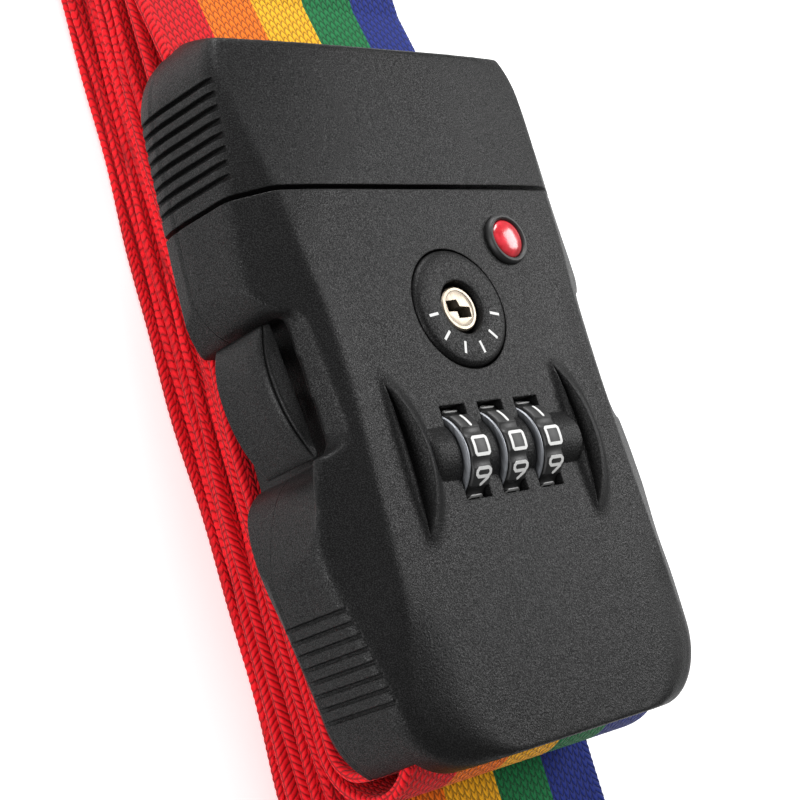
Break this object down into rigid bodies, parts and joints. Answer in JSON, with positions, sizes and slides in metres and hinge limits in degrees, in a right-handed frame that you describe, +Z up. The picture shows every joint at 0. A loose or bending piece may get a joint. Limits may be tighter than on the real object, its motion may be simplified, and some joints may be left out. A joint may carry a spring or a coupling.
{
  "type": "luggage strap",
  "caption": "Folded webbing luggage strap with a black two-part buckle, number dials, a key plug and side release buttons.",
  "frame": {"origin": "on the rest plane under the middle of the buckle and of the folded webbing", "axes": "+X across the webbing towards the badge side, +Y along the webbing from the dial half to the tongue half, +Z up out of the dial face"},
  "size_m": [0.0652, 0.266, 0.0363],
  "materials": {
    "cover": "fine spark-eroded grain",
    "dial": "satin",
    "bright_metal": "satin nickel",
    "steel": "zinc plated",
    "brass": "turned",
    "red_inlay": "clear-coated",
    "webbing": "woven polyester with coloured stripes, red edge"
  },
  "bodies": {
    "lock_half": {"lock_front_cover": "cover", "lock_back_cover": "cover", "lock_strap_bar": "steel", "lock_screws": "steel", "dial_axle": "steel", "detent_spring": "steel", "key_disc": "cover", "key_housing": "steel", "badge_bezel": "dial", "badge_gem": "red_inlay", "button_spring_left": "steel", "button_spring_right": "steel", "webbing_hank": "webbing", "webbing_lock_loop": "webbing"},
    "dial_left": {"dial_1": "dial", "dial_disc_1": "bright_metal", "clutch_sleeve_1": "brass"},
    "dial_middle": {"dial_2": "dial", "dial_disc_2": "bright_metal", "clutch_sleeve_2": "brass"},
    "dial_right": {"dial_3": "dial", "dial_disc_3": "bright_metal", "clutch_sleeve_3": "brass"},
    "key": {"key_plug": "bright_metal", "key_cam": "brass"},
    "plate": {"lock_plate": "steel"},
    "button_left": {"release_button_left": "cover"},
    "button_right": {"release_button_right": "cover"},
    "tongue_half": {"male_front_cover": "cover", "male_back_cover": "cover", "male_tongue": "cover", "male_strap_bar": "steel", "male_screws": "steel", "webbing_male_run": "webbing"}
  },
  "joints": [
    {"name": "dial_1_turn", "type": "hinge", "parent": "lock_half", "child": "dial_left", "pos_m": [-0.0071, -0.0129, 0.0298], "axis": [1, 0, 0], "continuous": true},
    {"name": "dial_2_turn", "type": "hinge", "parent": "lock_half", "child": "dial_middle", "pos_m": [0, -0.0129, 0.0298], "axis": [1, 0, 0], "continuous": true},
    {"name": "dial_3_turn", "type": "hinge", "parent": "lock_half", "child": "dial_right", "pos_m": [0.0071, -0.0129, 0.0298], "axis": [1, 0, 0], "continuous": true},
    {"name": "key_turn", "type": "hinge", "parent": "lock_half", "child": "key", "pos_m": [0, 0.00625, 0.03], "axis": [0, 0, 1], "range_deg": [0, 90]},
    {"name": "plate_slide", "type": "slide", "parent": "lock_half", "child": "plate", "axis": [0, 1, 0], "range_m": [0, 0.002]},
    {"name": "press_left", "type": "slide", "parent": "lock_half", "child": "button_left", "axis": [1, 0, 0], "range_m": [0, 0.0024], "stiffness_N_per_m": 250, "springref_m": -0.001, "deforming": ["button_spring_left"]},
    {"name": "press_right", "type": "slide", "parent": "lock_half", "child": "button_right", "axis": [-1, 0, 0], "range_m": [0, 0.0024], "stiffness_N_per_m": 250, "springref_m": -0.001, "deforming": ["button_spring_right"]},
    {"name": "tongue_pull", "type": "slide", "parent": "lock_half", "child": "tongue_half", "axis": [0, 1, 0], "range_m": [0, 0.0225]}
  ],
  "couplings": [
    {"joint": "plate_slide", "follows": "key_turn", "m_per_rad": 0.0012732}
  ]
}
